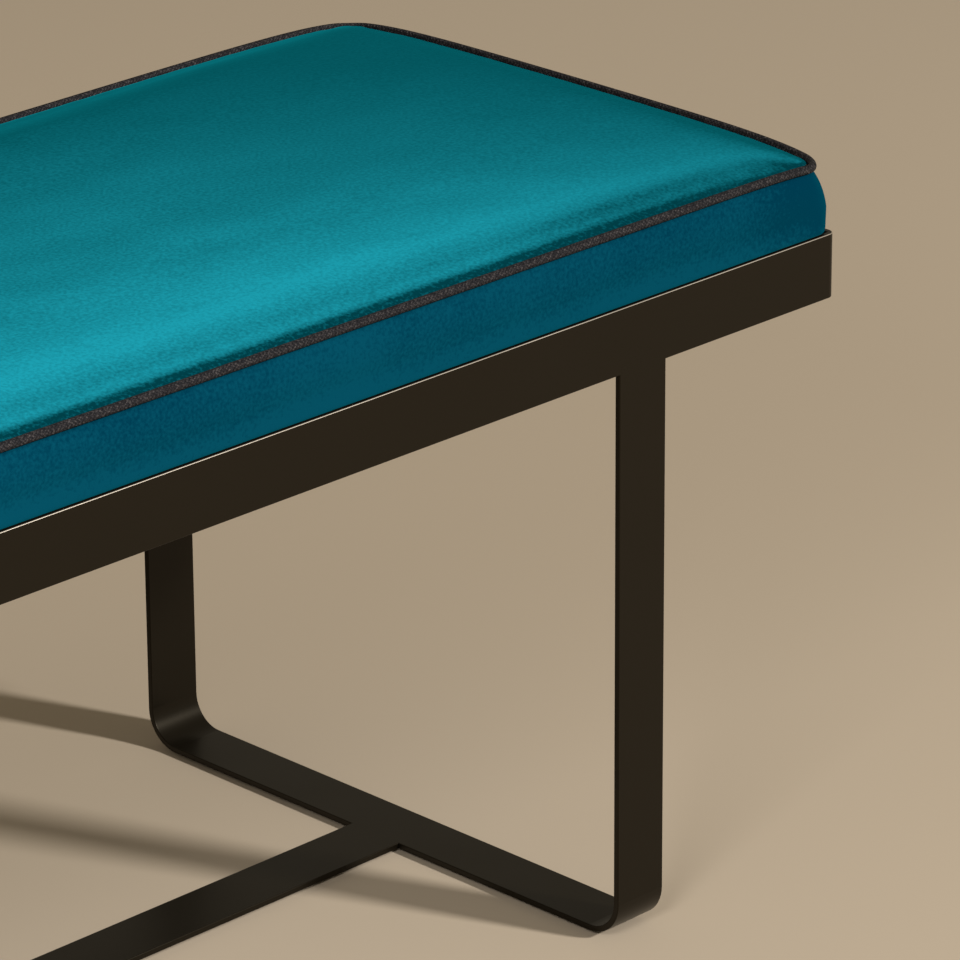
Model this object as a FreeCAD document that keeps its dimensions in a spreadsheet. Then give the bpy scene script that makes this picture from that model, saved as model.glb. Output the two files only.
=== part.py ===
import FreeCAD, Part
import math
import os
import re

import Sketcher

from FreeCAD import Vector

# An upholstered bench: a ring of mitred flat bar on two bent hoops, a floor stretcher between the
# hoops, and a box cushion with a crowned top and a cord in its top seam. X runs along the bench,
# Y from front to back, Z up. The origin is on the floor under the middle of the bench.

os.makedirs("parts", exist_ok=True)
doc = FreeCAD.newDocument("Bench")

# Driving dimensions, in millimetres
SIZES = [
    ("bench_length", 1220.0),
    ("bench_depth", 432.0),
    ("glide_thickness", 2.0),
    ("glide_diameter", 18.0),
    ("glide_setback", 50.0),
    ("leg_height", 376.0),
    ("leg_width", 40.0),
    ("leg_overhang", 153.0),
    ("bar_thickness", 4.0),
    ("bar_edge_radius", 0.6),
    ("hoop_bend_radius", 25.0),
    ("rail_height", 42.0),
    ("ring_corner_radius", 6.0),
    ("stretcher_width", 43.0),
    ("cross_bar_width", 40.0),
    ("support_drop", 1.0),
    ("corner_plate_reach", 72.0),
    ("corner_plate_nose", 14.0),
    ("corner_plate_relief", 6.0),
    ("corner_bolt_inset", 26.0),
    ("cross_bolt_spacing", 280.0),
    ("bolt_hole_diameter", 6.6),
    ("bolt_diameter", 6.0),
    ("bolt_tip_depth", 5.6),
    ("bolt_head_width", 10.0),
    ("bolt_head_height", 4.0),
    ("washer_diameter", 12.0),
    ("washer_thickness", 1.6),
    ("nut_barrel_diameter", 7.8),
    ("nut_barrel_length", 11.0),
    ("nut_bore_diameter", 6.2),
    ("nut_flange_diameter", 19.0),
    ("nut_flange_thickness", 1.5),
    ("fit_gap", 0.2),
    ("soft_gap", 0.3),
    ("board_thickness", 15.0),
    ("board_edge_radius", 2.0),
    ("cover_thickness", 1.0),
    ("cover_return", 24.0),
    ("dust_cover_thickness", 0.5),
    ("dust_cover_setback", 14.0),
    ("wadding_thickness", 5.0),
    ("cushion_corner_radius", 12.0),
    ("piping_corner_radius", 24.0),
    ("piping_diameter", 5.5),
    ("piping_inset", 2.5),
    ("piping_level", 47.4),
    ("board_side_inset", 1.2),
    ("belly_inset", 0.4),
    ("belly_level", 26.8),
    ("neck_level", 38.2),
    ("shoulder_rise", 5.5),
    ("shoulder_reach", 12.5),
    ("crown_rise", 12.5),
    ("crown_flat", 56.0),
]
sheet = doc.addObject("Spreadsheet::Sheet", "Sizes")
for row, (alias, size) in enumerate(SIZES, start=1):
    sheet.set("A%d" % row, alias)
    sheet.set("B%d" % row, str(size))
    sheet.setAlias("B%d" % row, alias)
doc.recompute()

ALIASES = [alias for alias, size in SIZES]


def bound(words):
    """The words of an expression with each alias given its sheet's name."""
    return re.sub("[a-z_]+", lambda found: ("Sizes." if found[0] in ALIASES else "") + found[0], words)


def number(words):
    """The value of an expression, in millimetres."""
    value = sheet.evalExpression(bound(words))
    return float(getattr(value, "Value", value))


def bind(thing, prop, words):
    thing.setExpression(prop, bound(words))


# Levels above the floor, and insets from the ring's outer face, that several pieces share
RING_FOOT = "( glide_thickness + leg_height )"
RING_TOP = "( glide_thickness + leg_height + rail_height )"
SUPPORT_TOP = "( %s - support_drop )" % RING_TOP
SUPPORT_FOOT = "( %s - bar_thickness )" % SUPPORT_TOP
HEM_LEVEL = "( %s + soft_gap )" % RING_TOP
BOARD_LEVEL = "( %s + cover_thickness + soft_gap )" % HEM_LEVEL
BOARD_TOP = "( %s + board_thickness )" % BOARD_LEVEL
PIPING_Z = "( %s + piping_level )" % RING_TOP
SEAM_FOOT = "( %s - piping_diameter / 2 - soft_gap )" % PIPING_Z
SEAM_INSET = "( piping_inset + piping_diameter / 2 + soft_gap )"
SEAM_RADIUS = "( piping_corner_radius - piping_diameter / 2 - soft_gap )"
WALL_INSET = "( board_side_inset + cover_thickness + soft_gap )"
LEG_CENTRE = "( bench_length / 2 - leg_overhang - leg_width / 2 )"

UP = Vector(0, 0, 1)

parts = []


def keep(thing, label):
    """Name a finished piece and put it on the list of pieces to write."""
    thing.Label = label
    parts.append(thing)
    return thing


def new_body(name):
    return doc.addObject("PartDesign::Body", name)


def new_sketch(body, plane, name, lift=None):
    """A sketch on one of the body's own origin planes, raised along the plane's normal."""
    sketch = body.newObject("Sketcher::SketchObject", name)
    origin = [item for item in body.Origin.OriginFeatures if item.Role == plane][0]
    sketch.AttachmentSupport = [(origin, "")]
    sketch.MapMode = "FlatFace"
    if lift:
        bind(sketch, "AttachmentOffset.Base.z", lift)
    return sketch


def measure(sketch, kind, name, words, *places):
    """A named dimension bound to the sheet. Its places are in order, so its value is positive."""
    index = sketch.addConstraint(Sketcher.Constraint(kind, *places, number(words)))
    sketch.renameConstraint(index, name)
    bind(sketch, "Constraints." + name, words)


def pin_point(sketch, name, geometry, end, across, along):
    """Hold a point at a signed place from the sketch's origin."""
    for kind, letter, words in (("DistanceX", "x", across), ("DistanceY", "y", along)):
        index = sketch.addConstraint(Sketcher.Constraint(kind, -1, 1, geometry, end, number(words)))
        sketch.renameConstraint(index, name + letter)
        bind(sketch, "Constraints." + name + letter, words)


def polygon(sketch, corners):
    """A closed outline of straight lines, each corner held by two expressions."""
    points = [Vector(number(across), number(along), 0) for across, along in corners]
    count = len(points)
    for index in range(count):
        sketch.addGeometry(Part.LineSegment(points[index], points[(index + 1) % count]), False)
    for index in range(count):
        sketch.addConstraint(Sketcher.Constraint("Coincident", index, 2, (index + 1) % count, 1))
    for index, (across, along) in enumerate(corners):
        pin_point(sketch, "corner%d" % index, index, 1, across, along)


def circle(sketch, name, across, along, diameter):
    """A circle of bound diameter at a bound place."""
    centre = Vector(number(across), number(along), 0)
    geometry = sketch.addGeometry(Part.Circle(centre, UP, number(diameter) / 2), False)
    pin_point(sketch, name, geometry, 3, across, along)
    measure(sketch, "Diameter", name + "size", diameter, geometry)


def rounded_rectangle(sketch, length, depth, radius):
    """Four lines and four quarter arcs, centred on the sketch's origin."""
    x = number(length) / 2
    y = number(depth) / 2
    r = number(radius)
    quarter = math.pi / 2
    lines = [
        (Vector(r - x, -y, 0), Vector(x - r, -y, 0)),
        (Vector(x, r - y, 0), Vector(x, y - r, 0)),
        (Vector(x - r, y, 0), Vector(r - x, y, 0)),
        (Vector(-x, y - r, 0), Vector(-x, r - y, 0)),
    ]
    centres = [
        Vector(x - r, r - y, 0),
        Vector(x - r, y - r, 0),
        Vector(r - x, y - r, 0),
        Vector(r - x, r - y, 0),
    ]
    for index in range(4):
        sketch.addGeometry(Part.LineSegment(*lines[index]), False)
        start = (index - 1) * quarter
        ring = Part.Circle(centres[index], UP, r)
        sketch.addGeometry(Part.ArcOfCircle(ring, start, start + quarter), False)
    for index in range(0, 8, 2):
        sketch.addConstraint(Sketcher.Constraint("Tangent", index, 2, index + 1, 1))
        sketch.addConstraint(Sketcher.Constraint("Tangent", index + 1, 2, (index + 2) % 8, 1))
    for index, way in ((0, "Horizontal"), (2, "Vertical"), (4, "Horizontal"), (6, "Vertical")):
        sketch.addConstraint(Sketcher.Constraint(way, index))
    for index in (3, 5, 7):
        sketch.addConstraint(Sketcher.Constraint("Equal", 1, index))
    sketch.addConstraint(Sketcher.Constraint("Symmetric", 0, 1, 4, 1, -1, 1))
    measure(sketch, "DistanceX", "length", length, 6, 1, 2, 1)
    measure(sketch, "DistanceY", "depth", depth, 0, 1, 4, 1)
    measure(sketch, "Radius", "radius", radius, 1)


def pad(body, sketch, length, both_ways=False):
    feature = body.newObject("PartDesign::Pad", "Pad")
    feature.Profile = sketch
    feature.Midplane = both_ways
    bind(feature, "Length", length)
    sketch.Visibility = False
    doc.recompute()
    return feature


def pocket(body, sketch, depth=None, upwards=False):
    """Cut a sketch out of the body, to a depth or right through both ways."""
    before = body.Shape.Volume
    feature = body.newObject("PartDesign::Pocket", "Pocket")
    feature.Profile = sketch
    feature.Reversed = upwards
    if depth:
        bind(feature, "Length", depth)
    else:
        feature.Type = "ThroughAll"
        feature.Midplane = True
    doc.recompute()
    assert body.Shape.Volume < before, "pocket cuts nothing in " + body.Name
    return feature


def fillet(body, feature, radius, chosen):
    """Round the feature's edges that the test picks."""
    names = []
    for index, edge in enumerate(feature.Shape.Edges, start=1):
        if chosen(edge):
            names.append("Edge%d" % index)
    rounding = body.newObject("PartDesign::Fillet", "Fillet")
    rounding.Base = (feature, names)
    bind(rounding, "Radius", radius)
    doc.recompute()
    return rounding


def level(edge, height, reach=0.001):
    """True for an edge that lies flat at a height."""
    box = edge.BoundBox
    return abs(box.ZMin - height) < reach and abs(box.ZMax - height) < reach


def across_mitre(edge):
    """True for a straight edge that runs at 45 degrees, as the ends of a mitred bar do."""
    along = edge.Vertexes[-1].Point - edge.Vertexes[0].Point
    return abs(abs(along.x) - abs(along.y)) < 0.001 and edge.Curve.TypeId == "Part::GeomLine"


# Ring rails: flat bar on edge, mitred at both ends, the ring's outer corners ground round
def rail(name, length, out, turn):
    """A rail drawn with its outer face on its own X axis, then turned and moved out to its side."""
    body = new_body(name)
    plan = new_sketch(body, "XY_Plane", "Plan")
    half = number(length) / 2
    thick = number("bar_thickness")
    r = number("ring_corner_radius")
    reach = r * math.sqrt(0.5)
    eighth = math.pi / 4
    straight_left = Vector(r - half, 0, 0)
    straight_right = Vector(half - r, 0, 0)
    inside_left = Vector(thick - half, thick, 0)
    inside_right = Vector(half - thick, thick, 0)
    tip_left = Vector(r - half - reach, r - reach, 0)
    tip_right = Vector(half - r + reach, r - reach, 0)
    round_left = Part.Circle(Vector(r - half, r, 0), UP, r)
    round_right = Part.Circle(Vector(half - r, r, 0), UP, r)
    outer = plan.addGeometry(Part.LineSegment(straight_left, straight_right), False)
    right = plan.addGeometry(Part.ArcOfCircle(round_right, -2 * eighth, -eighth), False)
    mitre_right = plan.addGeometry(Part.LineSegment(tip_right, inside_right), False)
    inner = plan.addGeometry(Part.LineSegment(inside_right, inside_left), False)
    mitre_left = plan.addGeometry(Part.LineSegment(inside_left, tip_left), False)
    left = plan.addGeometry(Part.ArcOfCircle(round_left, -3 * eighth, -2 * eighth), False)
    plan.addConstraint(Sketcher.Constraint("Tangent", outer, 2, right, 1))
    plan.addConstraint(Sketcher.Constraint("Tangent", left, 2, outer, 1))
    plan.addConstraint(Sketcher.Constraint("Coincident", right, 2, mitre_right, 1))
    plan.addConstraint(Sketcher.Constraint("Coincident", mitre_right, 2, inner, 1))
    plan.addConstraint(Sketcher.Constraint("Coincident", inner, 2, mitre_left, 1))
    plan.addConstraint(Sketcher.Constraint("Coincident", mitre_left, 2, left, 1))
    plan.addConstraint(Sketcher.Constraint("PointOnObject", outer, 1, -1))
    plan.addConstraint(Sketcher.Constraint("Symmetric", outer, 1, outer, 2, -2))
    plan.addConstraint(Sketcher.Constraint("Symmetric", inner, 1, inner, 2, -2))
    plan.addConstraint(Sketcher.Constraint("Equal", right, left))
    plan.addConstraint(Sketcher.Constraint("PointOnObject", right, 3, mitre_right))
    plan.addConstraint(Sketcher.Constraint("PointOnObject", left, 3, mitre_left))
    measure(plan, "Radius", "corner", "ring_corner_radius", right)
    measure(plan, "DistanceX", "straight", length + " - 2 * ring_corner_radius", outer, 1, outer, 2)
    measure(plan, "DistanceX", "inside", length + " - 2 * bar_thickness", inner, 2, inner, 1)
    measure(plan, "DistanceY", "thick", "bar_thickness", outer, 1, inner, 2)
    block = pad(body, plan, "rail_height")
    top = number("rail_height")

    def long_edge(edge):
        return (level(edge, 0) or level(edge, top)) and not across_mitre(edge)

    fillet(body, block, "bar_edge_radius", long_edge)
    body.Placement = FreeCAD.Placement(Vector(0, 0, 0), FreeCAD.Rotation(UP, turn))
    bind(body, "Placement.Base." + out[0], out[1:])
    bind(body, "Placement.Base.z", RING_FOOT)
    doc.recompute()
    return body


front_rail = keep(rail("FrontRail", "bench_length", "y - bench_depth / 2", 0), "front_rail")
back_rail = keep(rail("BackRail", "bench_length", "y bench_depth / 2", 180), "back_rail")
keep(rail("RightEndRail", "bench_depth", "x bench_length / 2", 90), "right_end_rail")
keep(rail("LeftEndRail", "bench_depth", "x - bench_length / 2", 270), "left_end_rail")

long_rails = doc.addObject("Part::Compound", "LongRails")
long_rails.Links = [front_rail, back_rail]
doc.recompute()


# Leg hoops: flat bar bent into a U, its tops fitted up into the rounded lower edges of the rails
def leg_hoop(name, side):
    """A hoop blank across the bench, its underside on the glides."""
    body = new_body(name + "Blank")
    outline = new_sketch(body, "YZ_Plane", "Outline")
    outer = "bench_depth / 2"
    inner = "( bench_depth / 2 - bar_thickness )"
    top = "( leg_height + bar_edge_radius )"
    polygon(
        outline,
        [
            ("- " + outer, top),
            ("- " + outer, "0"),
            (outer, "0"),
            (outer, top),
            (inner, top),
            (inner, "bar_thickness"),
            ("- " + inner, "bar_thickness"),
            ("- " + inner, top),
        ],
    )
    bar = pad(body, outline, "leg_width", both_ways=True)
    low = 2 * number("bar_thickness")
    half = number("bench_depth / 2")
    thick = number("bar_thickness")

    def bend_edge(edge, distance):
        middle = edge.CenterOfMass
        along = edge.BoundBox
        return along.XLength > 1 and middle.z < low and abs(abs(middle.y) - distance) < 0.001

    outer_bends = fillet(body, bar, "hoop_bend_radius", lambda edge: bend_edge(edge, half))
    inner_bends = fillet(
        body, outer_bends, "hoop_bend_radius - bar_thickness", lambda edge: bend_edge(edge, half - thick)
    )
    roof = number(top)

    def long_edge(edge):
        box = edge.BoundBox
        return box.XLength < 0.001 and box.ZMin < roof - 0.001

    fillet(body, inner_bends, "bar_edge_radius", long_edge)
    bind(body, "Placement.Base.x", side + LEG_CENTRE)
    bind(body, "Placement.Base.z", "glide_thickness")
    hoop = doc.addObject("Part::Cut", name)
    hoop.Base = body
    hoop.Tool = long_rails
    doc.recompute()
    return hoop


left_leg_hoop = keep(leg_hoop("LeftLegHoop", "-"), "left_leg_hoop")
right_leg_hoop = keep(leg_hoop("RightLegHoop", "1 *"), "right_leg_hoop")

both_hoops = doc.addObject("Part::Compound", "BothHoops")
both_hoops.Links = [left_leg_hoop, right_leg_hoop]
doc.recompute()


def flat_bar(body, plane, width, length):
    """Flat bar with rounded edges, its section on a plane and its length both ways from it."""
    section = new_sketch(body, plane, "Section")
    rounded_rectangle(section, width, "bar_thickness", "bar_edge_radius")
    return pad(body, section, length, both_ways=True)


# Floor stretcher: flat bar lying between the hoops, its ends fitted to their rounded edges
def floor_stretcher():
    body = new_body("FloorStretcherBlank")
    between = "( bench_length - 2 * leg_overhang - 2 * leg_width + 2 * bar_edge_radius )"
    flat_bar(body, "YZ_Plane", "stretcher_width", between)
    bind(body, "Placement.Base.z", "glide_thickness + bar_thickness / 2")
    stretcher = doc.addObject("Part::Cut", "FloorStretcher")
    stretcher.Base = body
    stretcher.Tool = both_hoops
    doc.recompute()
    return stretcher


keep(floor_stretcher(), "floor_stretcher")


# Cross bars: flat bar welded between the long rails just under their top edge, two with bolt holes
def cross_bar(name, middle, drilled):
    body = new_body(name)
    flat_bar(body, "XZ_Plane", "cross_bar_width", "bench_depth - 2 * bar_thickness")
    if drilled:
        holes = new_sketch(body, "XY_Plane", "Holes")
        circle(holes, "front", "0", "- cross_bolt_spacing / 2", "bolt_hole_diameter")
        circle(holes, "back", "0", "cross_bolt_spacing / 2", "bolt_hole_diameter")
        pocket(body, holes)
    bind(body, "Placement.Base.x", middle)
    bind(body, "Placement.Base.z", SUPPORT_TOP + " - bar_thickness / 2")
    doc.recompute()
    return body


keep(cross_bar("LeftCrossBar", "- " + LEG_CENTRE, True), "left_cross_bar")
keep(cross_bar("CentreCrossBar", "0", False), "centre_cross_bar")
keep(cross_bar("RightCrossBar", LEG_CENTRE, True), "right_cross_bar")

# Each corner of the bench, with the signs that send an expression to its side and its end
CORNERS = [
    ("front_left", "-", "-"),
    ("front_right", "1 *", "-"),
    ("back_left", "-", "1 *"),
    ("back_right", "1 *", "1 *"),
]


# Corner plates: gussets in the ring's corners, level with the cross bars
def corner_plate(name, side, end):
    """A triangular plate with its corner clipped clear of the weld and its points cut blunt."""
    body = new_body(name + "_plate")
    plan = new_sketch(body, "XY_Plane", "Plan")
    across = side + " ( bench_length / 2 - bar_thickness - %s )"
    along = end + " ( bench_depth / 2 - bar_thickness - %s )"
    polygon(
        plan,
        [
            (across % "corner_plate_relief", along % "0"),
            (across % "corner_plate_reach", along % "0"),
            (across % "corner_plate_reach", along % "corner_plate_nose"),
            (across % "corner_plate_nose", along % "corner_plate_reach"),
            (across % "0", along % "corner_plate_reach"),
            (across % "0", along % "corner_plate_relief"),
        ],
    )
    pad(body, plan, "bar_thickness")
    hole = new_sketch(body, "XY_Plane", "Hole")
    circle(hole, "bolt", across % "corner_bolt_inset", along % "corner_bolt_inset", "bolt_hole_diameter")
    pocket(body, hole)
    bind(body, "Placement.Base.z", SUPPORT_FOOT)
    doc.recompute()
    return body


for corner, side, end in CORNERS:
    keep(corner_plate(corner, side, end), corner + "_corner_plate")


# Floor glides: thin round pads under the hoops, near the bends
def floor_glide(name, side, end):
    body = new_body(name + "_glide")
    plan = new_sketch(body, "XY_Plane", "Plan")
    circle(plan, "disc", "0", "0", "glide_diameter")
    pad(body, plan, "glide_thickness")
    bind(body, "Placement.Base.x", side + LEG_CENTRE)
    bind(body, "Placement.Base.y", end + " ( bench_depth / 2 - glide_setback )")
    doc.recompute()
    return body


for corner, side, end in CORNERS:
    keep(floor_glide(corner, side, end), corner + "_floor_glide")

# Bolt places: two on the cross bar over each hoop and one on each corner plate
BOLT_PLACES = []
for middle in ("- " + LEG_CENTRE, LEG_CENTRE):
    BOLT_PLACES.append((middle, "- cross_bolt_spacing / 2"))
    BOLT_PLACES.append((middle, "cross_bolt_spacing / 2"))
for corner, side, end in CORNERS:
    BOLT_PLACES.append(
        (
            side + " ( bench_length / 2 - bar_thickness - corner_bolt_inset )",
            end + " ( bench_depth / 2 - bar_thickness - corner_bolt_inset )",
        )
    )


# Seat board: plywood deck with a counterbored hole for each nut
def seat_board():
    body = new_body("SeatBoard")
    plan = new_sketch(body, "XY_Plane", "Plan")
    rounded_rectangle(
        plan,
        "bench_length - 2 * " + WALL_INSET,
        "bench_depth - 2 * " + WALL_INSET,
        "cushion_corner_radius - cover_thickness - soft_gap",
    )
    slab = pad(body, plan, "board_thickness")
    top = number("board_thickness")
    fillet(body, slab, "board_edge_radius", lambda edge: level(edge, top))
    barrels = new_sketch(body, "XY_Plane", "Barrels")
    for index, place in enumerate(BOLT_PLACES):
        circle(barrels, "barrel%d" % index, *place, "nut_barrel_diameter + 2 * fit_gap")
    pocket(body, barrels)
    flanges = new_sketch(body, "XY_Plane", "Flanges", "board_thickness")
    for index, place in enumerate(BOLT_PLACES):
        circle(flanges, "flange%d" % index, *place, "nut_flange_diameter + 2 * fit_gap")
    pocket(body, flanges, "nut_flange_thickness")
    bind(body, "Placement.Base.z", BOARD_LEVEL)
    doc.recompute()
    return body


keep(seat_board(), "seat_board")


def group(name, one, height):
    """Copies of one small piece at every bolt place, as separate solids of one node."""
    links = []
    for index, (across, along) in enumerate(BOLT_PLACES):
        link = doc.addObject("App::Link", name + "Place%d" % index)
        link.LinkedObject = one
        bind(link, "Placement.Base.x", across)
        bind(link, "Placement.Base.y", along)
        bind(link, "Placement.Base.z", height)
        links.append(link)
    row = doc.addObject("Part::Compound", name)
    row.Links = links
    doc.recompute()
    return row


# Nuts: barrel nuts let into the board, their flanges flush with its top
def barrel_nut():
    body = new_body("Nut")
    flange = new_sketch(body, "XY_Plane", "Flange", "- nut_flange_thickness")
    circle(flange, "rim", "0", "0", "nut_flange_diameter")
    pad(body, flange, "nut_flange_thickness")
    barrel = new_sketch(body, "XY_Plane", "Barrel", "- nut_barrel_length")
    circle(barrel, "wall", "0", "0", "nut_barrel_diameter")
    pad(body, barrel, "nut_barrel_length")
    bore = new_sketch(body, "XY_Plane", "Bore")
    circle(bore, "thread", "0", "0", "nut_bore_diameter")
    pocket(body, bore)
    return body


keep(group("Nuts", barrel_nut(), BOARD_TOP), "t_nuts")


def hexagon(sketch, width):
    """A regular hexagon about the origin, given by its width across the flats."""
    corner = "( %s / 2 * tan(30 deg) )" % width
    point = "( %s / 2 / cos(30 deg) )" % width
    flat = "( %s / 2 )" % width
    polygon(
        sketch,
        [
            ("- " + flat, "- " + corner),
            ("0", "- " + point),
            (flat, "- " + corner),
            (flat, corner),
            ("0", point),
            ("- " + flat, corner),
        ],
    )


# Bolts and washers: hexagon heads under the cross bars and corner plates
def seat_bolt():
    """A bolt with the bearing face of its head on Z = 0 and its shank upwards."""
    body = new_body("Bolt")
    head = new_sketch(body, "XY_Plane", "Head", "- bolt_head_height")
    hexagon(head, "bolt_head_width")
    pad(body, head, "bolt_head_height")
    shank = new_sketch(body, "XY_Plane", "Shank")
    circle(shank, "shank", "0", "0", "bolt_diameter")
    pad(body, shank, "%s - %s + washer_thickness - bolt_tip_depth" % (BOARD_TOP, SUPPORT_FOOT))
    return body


def washer():
    """A washer with its top on Z = 0."""
    body = new_body("Washer")
    ring = new_sketch(body, "XY_Plane", "Ring", "- washer_thickness")
    circle(ring, "rim", "0", "0", "washer_diameter")
    circle(ring, "hole", "0", "0", "bolt_hole_diameter")
    pad(body, ring, "washer_thickness")
    return body


keep(group("Bolts", seat_bolt(), SUPPORT_FOOT + " - washer_thickness"), "seat_bolts")
keep(group("Washers", washer(), SUPPORT_FOOT), "bolt_washers")


# Dust cover: non-woven sheet under the board, cut clear of each bolt
def dust_cover():
    body = new_body("DustCover")
    plan = new_sketch(body, "XY_Plane", "Plan")
    rounded_rectangle(
        plan,
        "bench_length - 2 * dust_cover_setback",
        "bench_depth - 2 * dust_cover_setback",
        "cushion_corner_radius",
    )
    pad(body, plan, "dust_cover_thickness")
    holes = new_sketch(body, "XY_Plane", "Holes")
    for index, place in enumerate(BOLT_PLACES):
        circle(holes, "hole%d" % index, *place, "bolt_hole_diameter")
    pocket(body, holes)
    bind(body, "Placement.Base.z", SUPPORT_TOP + " + soft_gap")
    doc.recompute()
    return body


keep(dust_cover(), "dust_cover")

# Soft forms: upright walls with round corners, and smooth walls through stacks of outlines
def outline(body, name, inset, radius, height):
    """A round-cornered outline at a level, set in from the ring's outer face."""
    sketch = new_sketch(body, "XY_Plane", name, height)
    length = "bench_length - 2 * ( %s )" % inset
    depth = "bench_depth - 2 * ( %s )" % inset
    rounded_rectangle(sketch, length, depth, radius)
    return sketch


def loft(body, kind, sections):
    doc.recompute()
    feature = body.newObject("PartDesign::" + kind, "Walls")
    feature.Profile = sections[0]
    feature.Sections = sections[1:]
    feature.Ruled = False
    doc.recompute()
    return feature


def belly(body, kind, shrink, foot, head):
    """The cushion's side above the board: out to a belly, then drawn in under the cord."""
    low = "cushion_corner_radius - " + shrink
    high = "piping_corner_radius - " + shrink
    mean = "( cushion_corner_radius + piping_corner_radius ) / 2 - " + shrink
    neck_inset = "( belly_inset + piping_inset ) / 2 + "
    sections = [
        outline(body, kind + "Foot", "board_side_inset + " + shrink, low, foot),
        outline(body, kind + "Belly", "belly_inset + " + shrink, low, RING_TOP + " + belly_level"),
        outline(body, kind + "Neck", neck_inset + shrink, mean, RING_TOP + " + neck_level"),
        outline(body, kind + "Head", "piping_inset + " + shrink, high, head),
    ]
    return loft(body, kind, sections)


CROWN_REACH = "( bench_depth / 2 - %s - shoulder_reach - crown_flat / 2 )" % SEAM_INSET


def arch(name, plane, span, width, shrink):
    """A block with an arched top: a round shoulder inside the cord, a low dome and a flat middle.

    Its outline lies across the span, and it runs half the width each way from there.
    """
    body = new_body(name)
    section = new_sketch(body, plane, "Section")
    side = "( %s / 2 )" % span
    edge = "( %s / 2 - %s - %s )" % (span, SEAM_INSET, shrink)
    knee = "( %s - shoulder_reach )" % edge
    flat = "( %s - %s )" % (knee, CROWN_REACH)
    foot = HEM_LEVEL
    seam = "( %s - %s )" % (PIPING_Z, shrink)
    bend = "( %s + shoulder_rise )" % seam
    high = "( %s + crown_rise )" % seam
    corners = [
        ("- " + side, foot),
        (side, foot),
        (side, seam),
        (edge, seam),
        (knee, bend),
        (flat, high),
        ("- " + flat, high),
        ("- " + knee, bend),
        ("- " + edge, seam),
        ("- " + side, seam),
    ]
    points = [Vector(number(across), number(along), 0) for across, along in corners]
    rim, bent, crest = points[3:6]
    dome_sag = crest.y - bent.y
    dome_run = bent.x - crest.x
    dome_radius = (dome_run ** 2 + dome_sag ** 2) / (2 * dome_sag)
    dome_centre = Vector(crest.x, crest.y - dome_radius, 0)
    inward = (dome_centre - bent) / dome_radius
    chord = bent - rim
    shoulder_radius = -chord.dot(chord) / (2 * inward.dot(chord))
    shoulder_centre = bent + inward * shoulder_radius
    count = len(points)

    def line(first):
        section.addGeometry(Part.LineSegment(points[first], points[(first + 1) % count]), False)

    def arc(first, centre, radius):
        ring = Part.Circle(centre, UP, radius)
        ends = ring.parameter(points[first]), ring.parameter(points[first + 1])
        section.addGeometry(Part.ArcOfCircle(ring, *ends), False)

    def mirrored(point):
        return Vector(-point.x, point.y, 0)

    for index in (0, 1, 2):
        line(index)
    arc(3, shoulder_centre, shoulder_radius)
    arc(4, dome_centre, dome_radius)
    line(5)
    arc(6, mirrored(dome_centre), dome_radius)
    arc(7, mirrored(shoulder_centre), shoulder_radius)
    line(8)
    line(9)
    for index in range(count):
        way = "Tangent" if 3 <= index <= 6 else "Coincident"
        section.addConstraint(Sketcher.Constraint(way, index, 2, (index + 1) % count, 1))
    for index, (across, along) in enumerate(corners):
        pin_point(section, "corner%d" % index, index, 1, across, along)
    pad(body, section, width, both_ways=True)
    return body


def common(name, base, tool):
    shared = doc.addObject("Part::Common", name)
    shared.Base = base
    shared.Tool = tool
    doc.recompute()
    return shared


def cut(name, base, tool):
    rest = doc.addObject("Part::Cut", name)
    rest.Base = base
    rest.Tool = tool
    doc.recompute()
    return rest


def crowned(name, walls, shrink):
    """Upright walls under the crown: an arch from front to back met by one from end to end."""
    across = arch(name + "Across", "YZ_Plane", "bench_depth", "bench_length", shrink)
    along = arch(name + "Along", "XZ_Plane", "bench_length", "bench_depth", shrink)
    return common(name + "Form", common(name + "Walls", walls, across), along)


def filling_walls(name, shrink, foot):
    """The sides of what fills the cover, from the board up past the crown."""
    body = new_body(name)
    belly(body, "AdditiveLoft", shrink, foot, SEAM_FOOT)
    inset = SEAM_INSET + " + " + shrink
    neck = outline(body, "Collar", inset, SEAM_RADIUS + " - " + shrink, SEAM_FOOT)
    pad(body, neck, "piping_diameter + crown_rise + shoulder_rise")
    return body


# Boxing: the velvet side band, turned in flat under the board
def boxing():
    body = new_body("Boxing")
    inset = "board_side_inset"
    hem = outline(body, "Hem", inset, "cushion_corner_radius", HEM_LEVEL)
    band = pad(body, hem, "%s - %s" % (BOARD_TOP, HEM_LEVEL))
    foot = number(HEM_LEVEL)
    fillet(body, band, "cover_thickness", lambda edge: level(edge, foot))
    belly(body, "AdditiveLoft", "0", BOARD_TOP, SEAM_FOOT)
    belly(body, "SubtractiveLoft", "cover_thickness", BOARD_TOP, SEAM_FOOT)
    inset = "board_side_inset + cover_thickness"
    radius = "cushion_corner_radius - cover_thickness"
    hollow = outline(body, "Hollow", inset, radius, BOARD_TOP)
    pocket(body, hollow, "%s - %s - cover_thickness" % (BOARD_TOP, HEM_LEVEL))
    opening = outline(body, "Opening", "cover_return", "cushion_corner_radius", HEM_LEVEL)
    pocket(body, opening, "cover_thickness", upwards=True)
    return body


keep(boxing(), "boxing")


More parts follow.
